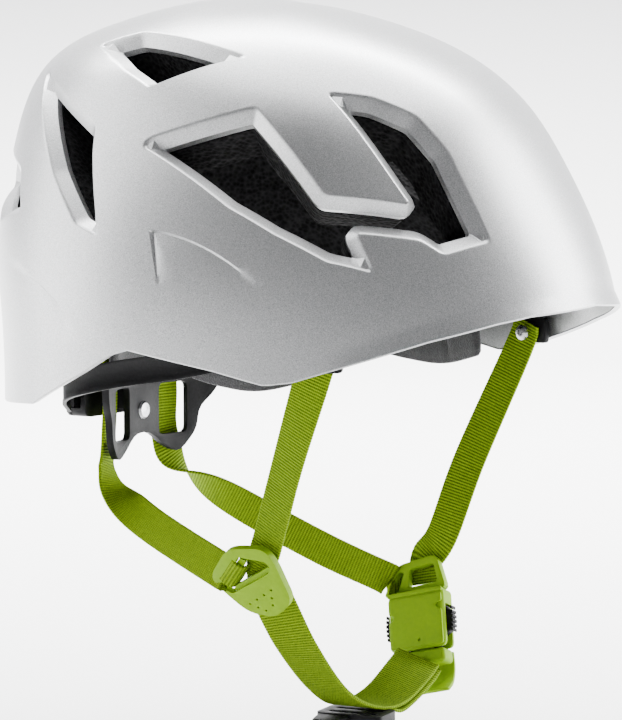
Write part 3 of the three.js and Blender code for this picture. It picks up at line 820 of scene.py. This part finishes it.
def foam_liner(rings):
    """The liner inside the shell, cut through at the vents."""
    rim = rim_loop(FOAM_ABOVE, 220, LINER_OUT)
    holes = [group[-1][0] for group in rings]
    loops = [(rim, True)] + [(hole, True) for hole in holes]
    fill = fill_points(rim, FOAM_STEP, loops, 1.0)
    flat, faces = triangulate(loops, fill, rim, holes)
    down, around = from_chart(flat)
    degrees = np.degrees(down)
    share = np.clip((degrees - 66) / 18, 0, 1)
    share = share * share * (3 - 2 * share)
    low = np.clip((degrees - 84) / 10, 0, 1)
    outer = form_radius(down, around) - (FOAM_TOP + (FOAM_RIM - FOAM_TOP) * low)
    inner = form_radius(down, around) - LINER_OUT
    inner = inner - (FOAM_IN_TOP + (FOAM_IN_RIM - FOAM_IN_TOP) * share)
    vertices, faces = two_sided(flat, faces, outer, inner, 6)
    piece("foam", vertices, faces, FOAM_LOOK, "foam", node="foam_liner", sharp=40)


# ---------- webbing
def catmull(points, t):
    """Uniform Catmull-Rom through the points, t from 0 to 1."""
    p = np.vstack([2 * points[0] - points[1], points, 2 * points[-1] - points[-2]])
    s = t * (len(points) - 1)
    i = np.clip(s.astype(int), 0, len(points) - 2)
    u = (s - i)[:, None]
    a, b, c, d = p[i], p[i + 1], p[i + 2], p[i + 3]
    return 0.5 * (2 * b + (c - a) * u + (2 * a - 5 * b + 4 * c - d) * u**2
                  + (3 * b - a - 3 * c + d) * u**3)


def route(stations, samples, spacing):
    """Even places along stations of (centre, direction across), in mm: the distance run, the
    centre, the direction across and the direction out of the face."""
    centre = np.array([s[0] for s in stations], float)
    across = np.array([s[1] for s in stations], float)
    share = np.linspace(0, 1, samples)
    dense = catmull(centre, share)
    run = np.concatenate([[0], np.cumsum(np.linalg.norm(np.diff(dense, axis=0), axis=1))])
    length = np.linspace(0, run[-1], int(run[-1] / spacing))
    t = np.interp(length, run, share)
    middle, side = catmull(centre, t), catmull(across, t)
    tangent = np.gradient(middle, axis=0)
    tangent /= np.linalg.norm(tangent, axis=1)[:, None]
    side -= (side * tangent).sum(1)[:, None] * tangent
    side /= np.linalg.norm(side, axis=1)[:, None]
    return length, middle, side, np.cross(side, tangent)


def tube(rings):
    """Vertices in metres and faces of a closed tube through its lengthwise lines, in mm."""
    k, count = len(rings), len(rings[0])
    vertices = np.stack(rings, 1).reshape(-1, 3) * MM
    faces = [
        (i * k + j, i * k + (j + 1) % k, (i + 1) * k + (j + 1) % k, (i + 1) * k + j)
        for i in range(count - 1) for j in range(k)
    ]
    faces += [tuple(range(k))[::-1], tuple(range((count - 1) * k, count * k))]
    return vertices, faces


# Half of the webbing's section, from edge to edge: shares of its half width and half thickness.
WEB_SECTION = [
    (-1, -0.5), (-0.97, -1), (-0.86, -0.86), (-0.5, -0.9), (0, -0.94), (0.5, -0.9), (0.86, -0.86),
    (0.97, -1), (1, -0.5),
]
RIB_HEIGHT = 0.19  # mm
RIB_SPREAD = 0.012  # share of the width that the ribs add at the edges
HARNESS_WIDTH, CHIN_WIDTH, STRAP_THICK = 15, 20, 1.4  # mm


def strap(name, stations, node=None, width=HARNESS_WIDTH, thick=STRAP_THICK, body="helmet"):
    """Flat ribbed webbing along stations of (centre, direction across), in mm."""
    length, middle, side, face = route(stations, 800, RIB / MM / 4)
    rib = np.cos(2 * np.pi * length / (RIB / MM))
    rings, uv = [], []
    for x, y in WEB_SECTION + [(x, -y) for x, y in WEB_SECTION[::-1]]:
        aside = width / 2 * x * (1 + RIB_SPREAD * rib * (abs(x) > 0.95))
        lift = thick / 2 * y + np.sign(y) * RIB_HEIGHT * rib * (abs(x) < 0.9)
        rings.append(middle + side * aside[:, None] + face * lift[:, None])
        uv.append(np.stack([length * MM, np.full(len(length), width / 2 * x * MM)], -1))
    vertices, faces = tube(rings)
    run = np.stack(uv, 1).reshape(-1, 2)
    piece(name, vertices, faces, WEBBING_LOOK, "webbing", body, node, uv=run)


def mirrored(stations, side):
    """Stations as given for the left side, or moved to the right side for -1."""
    return [((p[0], side * p[1], p[2]), (w[0], side * w[1], w[2])) for p, w in stations]


FORE = (0.944, -0.33, 0)  # across a front strap where it is riveted
CHIN_BLEND = ("helmet", "buckle_insert", (0.030, 0.008, -0.172), (0.0305, 0.040, -0.161))


def webbing():
    """Every strap, along the same routes as in CAD, run on into the divider and the buckle."""
    front_right = [
        ((59.4, 88.9, -15.6), FORE), ((55.5, 88.4, -27), (0.93, -0.2, -0.3)),
        ((39, 79, -61), (0.9, 0.1, -0.4)), ((21.5, 66.9, -97), (0.9, 0.1, -0.4)),
        ((18.5, 66.0, -103.6), (0.92, 0.1, -0.38)), ((16.5, 63.6, -110.5), (0.94, 0.1, -0.3)),
        ((15.2, 61.0, -116.0), (0.95, 0.1, -0.25)),
    ]
    strap("front_web_right", mirrored(front_right, -1), "front_strap_right")
    front_left = [
        ((59.4, 88.9, -15.6), FORE), ((55.5, 88.4, -27), (0.93, -0.2, -0.3)),
        ((37, 78, -76), (0.93, 0, -0.35)), ((28.0, 69.6, -109), (0.95, 0, -0.3)),
    ]
    into_buckle = [(2.6, -19.5, 3.2), (2.4, -14.0, 3.5), (2.2, -8.0, 3.1)]
    front_left += in_frame(BUCKLE, into_buckle, (1, 0.3, 0))
    strap("front_web_left", front_left, "front_strap_left")
    down = [
        ((-105.4, 25, 0), (0, 1, 0)), ((-105, 24.6, -9), (0, 1, 0)), ((-97, 23, -18), (0, 1, 0)),
        ((-88.6, 21, -28), (0.25, 0.97, 0)), ((-87, 21, -46), (0.25, 0.97, 0)),
        ((-87.4, 22, -66), (0.25, 0.95, 0.1)),
    ]
    rear_right = down + [
        ((-86.5, 24, -78), (0.25, 0.95, -0.1)), ((-77, 29, -88), (0.15, 0.9, -0.4)),
        ((-52, 42, -97.5), (-0.25, 0.45, -0.85)), ((-4, 63.5, -110), (-0.3, 0.3, -0.85)),
        ((1.5, 65.3, -111.2), (-0.35, 0.3, -0.85)),
    ]
    strap("rear_web_right", mirrored(rear_right, -1), "rear_strap_right")
    rear_left = down + [
        ((-82, 26, -81), (0.4, 0.75, -0.5)), ((-58, 36, -97), (0.45, 0.3, -0.85)),
        ((-22, 50, -117), (0.4, 0.2, -0.9)), ((4, 59.5, -129), (0.35, 0.2, -0.9)),
    ]
    into_buckle = [(-12.6, -10.2, -1.6), (-9.6, -9.6, 1.6), (-5.0, -9.0, 3.4)]
    rear_left += in_frame(BUCKLE, into_buckle, (0.25, 0.97, 0))
    strap("rear_web_left", rear_left, "rear_strap_left")
    divider_loop()
    chin = [
        ((17.5, -62, -114.7), (1, 0, 0.2)), ((20, -57.8, -124), (1, 0, 0.2)),
        ((24, -48, -142), (1, 0, 0.1)), ((27, -29, -162), (1, 0, 0)),
        ((29, -10, -172), (1, 0.1, 0)), ((31, 12, -172), (0.97, 0.15, -0.2)),
        ((31, 34, -164), (0.92, 0.2, -0.35)), ((30.4, 43.5, -160), (0.92, 0.2, -0.35)),
    ]
    strap("chin_web", chin, "chin_strap", CHIN_WIDTH, body=CHIN_BLEND)
    back = [
        ((30.5, 5, -175.6), (1, 0.1, 0)), ((31.3, 14, -174.4), (0.97, 0.15, -0.2)),
        ((31.5, 35.5, -166.4), (0.92, 0.2, -0.35)), ((31, 44, -162.4), (0.92, 0.2, -0.35)),
    ]
    strap("chin_web_return", back, "chin_strap_return", CHIN_WIDTH, body=CHIN_BLEND)


def in_frame(place, points, across):
    """Stations drawn in a frame of their own."""
    side = tuple(place.to_3x3() @ Vector(across))
    return [(tuple(place @ Vector(p)), side) for p in points]


def divider_loop():
    """The turn of the rear strap over the bar of the divider."""
    path = [(-4.2, -2.4), (-3.6, 0.4), (-1.6, 2.0), (1.6, 2.0), (3.6, 0.2), (3.9, -2.6)]
    points = [(-9.4 + 0.76 * d, 2.8 - 0.65 * d, z) for d, z in path]
    strap("divider_loop", in_frame(DIVIDER, points, (0.65, 0.76, 0)), None, 13, 1.3)


def buckle_frame():
    """x across the buckle, y along the pull, z away from the head."""
    pull = Vector((0.25, -0.33, -0.91)).normalized()
    wide = (Vector((1, 0, 0)) - pull * pull.x).normalized()
    place = Matrix((wide, pull, wide.cross(pull))).transposed().to_4x4()
    place.translation = Vector((22, 60, -138))
    return place


# The frames in which the divider and the buckle are drawn, in mm. The divider's has x forward,
# y up the strap and z away from the head.
DIVIDER = Matrix(((1, 0, 0, 15), (0, -0.39, -0.92, -66.5), (0, 0.92, -0.39, -112), (0, 0, 0, 1)))
BUCKLE = buckle_frame()


# ---------- flat moulded plates
PLATE_STEP = 1.6  # mm between the points that fill a plate


def plate(name, place, outline, holes, low, high, look, bevel, body="helmet", node=None,
          crown=0.0):
    """A plate drawn in its own frame, in mm, with rounded edges and holes, bowed by crown."""
    loops = [outline] + holes
    grid = np.array([
        (x, y)
        for x in np.arange(outline[:, 0].min(), outline[:, 0].max(), PLATE_STEP)
        for y in np.arange(outline[:, 1].min(), outline[:, 1].max(), PLATE_STEP)
    ])
    grid = grid[inside(grid, outline)]
    for loop in loops:
        grid = grid[distance_to(grid, loop) > bevel + 0.5]
    for hole in holes:
        grid = grid[~inside(grid, hole)]
    flat, faces = triangulate([(loop, True) for loop in loops], grid, outline, holes)
    bm = bmesh.new()
    reach = np.abs(flat).max(0)
    bow = crown * (1 - (flat[:, 0] / reach[0]) ** 2) * (1 - (flat[:, 1] / reach[1]) ** 2)
    top = [bm.verts.new((p[0], p[1], high + c)) for p, c in zip(flat, bow)]
    under = [bm.verts.new((p[0], p[1], low + c * 0.6)) for p, c in zip(flat, bow)]
    seen = set()
    for a, b, c in faces:
        if np.cross(flat[b] - flat[a], flat[c] - flat[a]) < 0:
            b, c = c, b
        bm.faces.new((top[a], top[b], top[c]))
        bm.faces.new((under[a], under[c], under[b]))
        seen.update(((a, b), (b, c), (c, a)))
    for a, b in [e for e in seen if (e[1], e[0]) not in seen]:
        bm.faces.new((top[b], top[a], under[a], under[b]))
    bmesh.ops.delete(bm, geom=[v for v in bm.verts if not v.link_faces], context="VERTS")
    # The edges of the two faces, and not the upright ones between them.
    level = abs(high - low) * 0.4
    sharp = [e for e in corners_of(bm, 50) if abs(e.verts[0].co.z - e.verts[1].co.z) < level]
    bmesh.ops.bevel(bm, geom=sharp, offset=bevel, offset_type="OFFSET", segments=3, profile=0.5,
                    affect="EDGES", clamp_overlap=True)
    bm.transform(Matrix.Scale(MM, 4) @ place)
    bmesh.ops.recalc_face_normals(bm, faces=bm.faces)
    mesh = bpy.data.meshes.new(name)
    bm.to_mesh(mesh)
    bm.free()
    dressed(name, mesh, look, body, node, 40)


def corners_of(bm, degrees):
    """Edges where two faces meet at more than an angle."""
    limit = math.radians(degrees)
    return [e for e in bm.edges if len(e.link_faces) == 2 and e.calc_face_angle(0) > limit]


def ring(x, y, radius, count=14):
    """A round hole."""
    t = np.linspace(0, 2 * math.pi, count, endpoint=False)
    return np.stack([x + radius * np.cos(t), y + radius * np.sin(t)], -1)


def shaped(corners, radius, step=1.0):
    """An outline with rounded corners, run anticlockwise."""
    corners = np.array(corners, float)
    if signed_area(corners) < 0:
        corners = corners[::-1]
    return rounded(corners, radius, step)


GRIPS = 6  # ridges on each release prong
GRIP_FROM, GRIP_TO = 15.4, 16.5  # mm from the buckle's middle, clear of its socket


def buckle_details():
    """The notched inner face of the buckle body, and grips on the two release prongs."""
    half, top, low = 12.9, -0.6, 22.2
    outline = [[-half, top], [half, top], [half, 3.4], [half - 2.6, 3.8], [half - 3.0, 5.6],
               [half, 7.0], [half, low], [-half, low], [-half, 9.6], [-half + 2.2, 8.8],
               [-half + 2.2, 7.0], [-half, 6.4]]
    plate("buckle_face", BUCKLE, shaped(outline, 0.9, 0.8), [ring(1.5, 19.2, 0.65)], -5.9, -4.7,
          GREEN_PLASTIC, 0.35)
    bar = shaped([[-13.6, -3.4], [13.0, -3.4], [13.4, -1.4], [-13.4, -1.4]], 0.7, 0.8)
    plate("buckle_bar", BUCKLE, bar, [], -5.5, -3.6, GREEN_PLASTIC, 0.4)
    for side, word in SIDES:
        for k in range(GRIPS):
            y = 5.9 + 2.0 * k
            start, reach = side * GRIP_FROM, side * (GRIP_TO - 0.06 * (k - 2.5) ** 2)
            grip = shaped([[start, y - 0.8], [reach, y - 0.7], [reach, y + 0.7], [start, y + 0.8]],
                          0.3, 0.4)
            plate(f"prong_grip_{word}_{k}", BUCKLE, grip, [], -2.1, 2.1, BLACK_PLASTIC, 0.25,
                  body="prong_" + word)


def divider():
    """The strap divider: a plate with one window, and the bar and rib across the window."""
    outline = [[-21, -1], [-9, 14], [9, 15.5], [13, 9], [17, -9], [7, -17], [-5, -16]]
    window = [[-15.5, -4.5], [-11.0, -7.0], [8.6, 4.0], [10.4, 6.6], [8.8, 9.6], [-4.0, 10.8]]
    dots = [(-3.5, -11.2), (0.0, -12.6), (3.4, -13.8), (0.6, -8.6), (7.4, -10.8), (4.6, -6.0),
            (7.9, -7.2), (8.6, -3.4)]
    holes = [shaped(window, 1.3, 0.7)] + [ring(x, y, 0.55, 10) for x, y in dots]
    plate("divider_plate", DIVIDER, shaped(outline, 5), holes, -1.5, 1.5, GREEN_PLASTIC, 0.7,
          node="strap_divider", crown=1.2)
    bar = shaped([[-15.6, -4.2], [-13.0, -5.6], [-1.2, 8.6], [-4.2, 9.6]], 0.6, 0.7)
    plate("divider_bar", DIVIDER, bar, [], -1.2, 1.0, GREEN_PLASTIC, 0.45)
    rib = shaped([[-9.0, -3.6], [-10.6, -5.4], [-7.6, -6.2], [9.8, 5.0], [8.8, 6.6]], 0.5, 0.7)
    plate("divider_rib", DIVIDER, rib, [], -1.2, 0.9, GREEN_PLASTIC, 0.4)


# ---------- moulded parts
BODY_OF = {
    node: name for name, body in frame["record"]["behaviour"]["bodies"].items() for node in body
}
SLOT_OF = {part["node"]: part["material_slot"] for part in frame["record"]["subparts"]}


def moulded(node, look, width):
    """A CAD part with its flat triangles merged and its edges rounded as moulding leaves them."""
    mesh = frame["nodes"][node].data.copy()
    mesh.transform(frame["nodes"][node].matrix_world)
    bm = bmesh.new()
    bm.from_mesh(mesh)
    bmesh.ops.remove_doubles(bm, verts=bm.verts, dist=0.00002)
    bmesh.ops.dissolve_limit(bm, angle_limit=math.radians(1.5), verts=bm.verts, edges=bm.edges)
    bmesh.ops.bevel(bm, geom=corners_of(bm, 38), offset=width * MM, offset_type="OFFSET",
                    segments=2, profile=0.6, affect="EDGES", clamp_overlap=True)
    bmesh.ops.triangulate(bm, faces=[f for f in bm.faces if len(f.verts) > 4])
    bm.to_mesh(mesh)
    bm.free()
    mesh.name = node + "_moulded"
    mesh.materials.clear()
    dressed(mesh.name, mesh, look, BODY_OF[node], node, 32)


def hardware():
    """The moulded parts of the harness and the headband."""
    green = "buckle_socket buckle_insert buckle_guard"
    black = "release_prong_left release_prong_right strap_adjuster"
    grey = ("cradle_frame adjuster_housing housing_cover headband_front adjuster_knob "
            "front_anchor_left front_anchor_right rear_anchor_left rear_anchor_right")
    for nodes, look, width in ((green, GREEN_PLASTIC, 0.5), (black, BLACK_PLASTIC, 0.4),
                               (grey, DARK_PLASTIC, 0.4)):
        for node in nodes.split():
            moulded(node, look, width)


def dress_cad_nodes():
    """Procedural materials for the CAD parts that stay as they are."""
    looks = {
        "plastic": DARK_PLASTIC, "hardware": GREEN_PLASTIC, "steel": STEEL_LOOK,
        "pad": PAD_LOOK, "webbing": WEBBING_LOOK, "shell": SHELL_LOOK, "foam": FOAM_LOOK,
    }
    for name, node in frame["nodes"].items():
        node.data.materials.clear()
        node.data.materials.append(looks[SLOT_OF[name]])


# ---------- band arms and pads
# The band arm of one side, from its rack forwards: centres in mm.
ARM = [(-82, 60, -39), (-46, 77, -31), (0, 82, -23), (36, 78.5, -11), (59.5, 72, 2)]
ARM_AT_RACK = {1: (-96.2, 38, -37), -1: (-96.2, 38, -47)}


def upright(places, side=1):
    """Stations of a band that stands upright through places of one side."""
    return mirrored([(place, (0, 0, 1)) for place in places], side)


def ribbon(name, stations, section, look, slot, body, node):
    """A section of (across, out) in mm swept along stations of (centre, across)."""
    _, middle, side, face = route(stations, 400, 1.6)
    ends = np.linspace(0, 1, len(middle))
    rings = [middle + side * x[:, None] + face * y[:, None] for x, y in section(ends)]
    obj = piece(name, *tube(rings), look, slot, body, node)
    bm = bmesh.new()
    bm.from_mesh(obj.data)
    bmesh.ops.recalc_face_normals(bm, faces=bm.faces)
    bm.to_mesh(obj.data)
    bm.free()
    obj.data.set_sharp_from_angle(angle=math.radians(40))
    return obj


def arm_section(ends):
    """A flat strip with raised edges."""
    one = np.ones_like(ends)
    half, low, rail = 5.5, 0.55, 0.8
    points = [(-half, -rail), (-half + 1.2, -rail), (-half + 1.6, -low), (half - 1.6, -low),
              (half - 1.2, -rail), (half, -rail)]
    points += [(x, -y) for x, y in points[::-1]]
    return [(x * one, y * one) for x, y in points]


def pad_section(width, thick, channels):
    """A crowned cushion section whose ends pull in, with stitched channels across it."""

    def section(ends):
        end = np.clip(np.minimum(ends, 1 - ends) / 0.07, 0, 1)
        full = np.sqrt(1 - (1 - end) ** 2)
        channel = np.ones_like(ends)
        for c in channels:
            channel -= 0.45 * np.exp(-(((ends - c) / 0.008) ** 2))
        points = []
        for a in np.linspace(0, 2 * math.pi, 28, endpoint=False):
            x, y = math.cos(a), math.sin(a)
            across = abs(x) ** 0.55 * math.copysign(1, x)
            up = abs(y) ** 0.75 * math.copysign(1, y)
            seam = 1 - 0.28 * math.exp(-((abs(across) - 0.86) / 0.05) ** 2)
            points.append((width / 2 * across * (0.35 + 0.65 * full),
                           thick / 2 * up * seam * (0.25 + 0.75 * full) * channel))
        return points

    return section


def band_arms():
    """The two flexible arms, each riveted in front and reaching back to its rack; each is given a
    blend to its rack, but is only baked in place.
    """
    for side, word in SIDES:
        pull = ("helmet", "rack_" + word, (-0.030, side * 0.079, -0.028),
                (-0.088, side * 0.052, -0.040))
        ribbon("headband_arm_" + word, upright([ARM_AT_RACK[side]] + ARM, side), arm_section,
               DARK_PLASTIC, "plastic", pull, "band_arm_" + word)


NAPE = 84.3  # mm from the origin to the middle of the nape cushion


def pads():
    """The five cushions inside the helmet."""
    brow = [(64, -57, 4), (79, -38, 7), (95, 0, 9), (79, 38, 7), (64, 57, 4)]
    side_pad = [(-8, 77, -18), (8, 78, -21), (24, 77, -22), (44, 72, -17)]
    nape = [(-NAPE * math.cos(a), NAPE * math.sin(a), -30.5) for a in np.linspace(-0.40, 0.40, 7)]
    cushions = [("brow_cushion", upright(brow), pad_section(24, 5, (0.25, 0.5, 0.75)), "brow_pad")]
    cushions += [
        ("side_cushion_" + word, upright(side_pad, side), pad_section(25, 4, (0.33, 0.66)),
         "side_pad_" + word)
        for side, word in SIDES
    ]
    cushions.append(("nape_cushion", upright(nape), pad_section(13, 4.4, (0.5,)), "cradle_pad"))
    made = [
        ribbon(name, stations, section, PAD_LOOK, "pad", "helmet", node)
        for name, stations, section, node in cushions
    ]
    for pad in made + [crown_cushion()]:
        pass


CROWN_TOP, CROWN_UNDER = 31.4, 36.4  # mm from the form to the crown pad's two faces


def crown_cushion():
    """A round pad under the crown with three sewn spokes."""
    rings, spokes = 12, 48
    span = math.radians(22)
    middle = (CROWN_TOP + CROWN_UNDER) / 2
    vertices = []
    for inset in (CROWN_TOP, CROWN_UNDER):
        for i in range(1, rings + 1):
            share = i / rings
            down = span * share
            full = math.sqrt(max(0.0, 1 - share**4))
            seam = 0.25 * math.exp(-((share - 0.86) / 0.05) ** 2)
            for j in range(spokes):
                around = 2 * math.pi * j / spokes
                sewn = math.cos(1.5 * around) ** 2
                sewn = 0.45 * math.exp(-((1 - sewn) / 0.03)) * min(1, share * 2)
                at = middle + (inset - middle) * full * (1 - sewn) * (1 - seam)
                r = form_at(down, around) - at
                vertices.append((r * math.sin(down) * math.cos(around),
                                 r * math.sin(down) * math.sin(around), r * math.cos(down)))
    top = len(vertices)
    vertices += [(0, 0, form_at(0.0, 0.0) - inset) for inset in (CROWN_TOP, CROWN_UNDER)]
    faces = []
    size = rings * spokes
    last = (rings - 1) * spokes
    for j in range(spokes):
        k = (j + 1) % spokes
        faces += [(top, j, k), (top + 1, size + k, size + j)]
        for i in range(rings - 1):
            a, b = i * spokes, (i + 1) * spokes
            faces.append((a + j, b + j, b + k, a + k))
            faces.append((size + a + j, size + a + k, size + b + k, size + b + j))
        faces.append((last + j, size + last + j, size + last + k, last + k))
    vertices = np.array(vertices) * MM
    return piece("crown_cushion", vertices, faces, PAD_LOOK, "pad", node="crown_pad")


camera()
studio()
dress_cad_nodes()
foam_liner(outer_shell())
webbing()
band_arms()
pads()
divider()
buckle_details()
hardware()
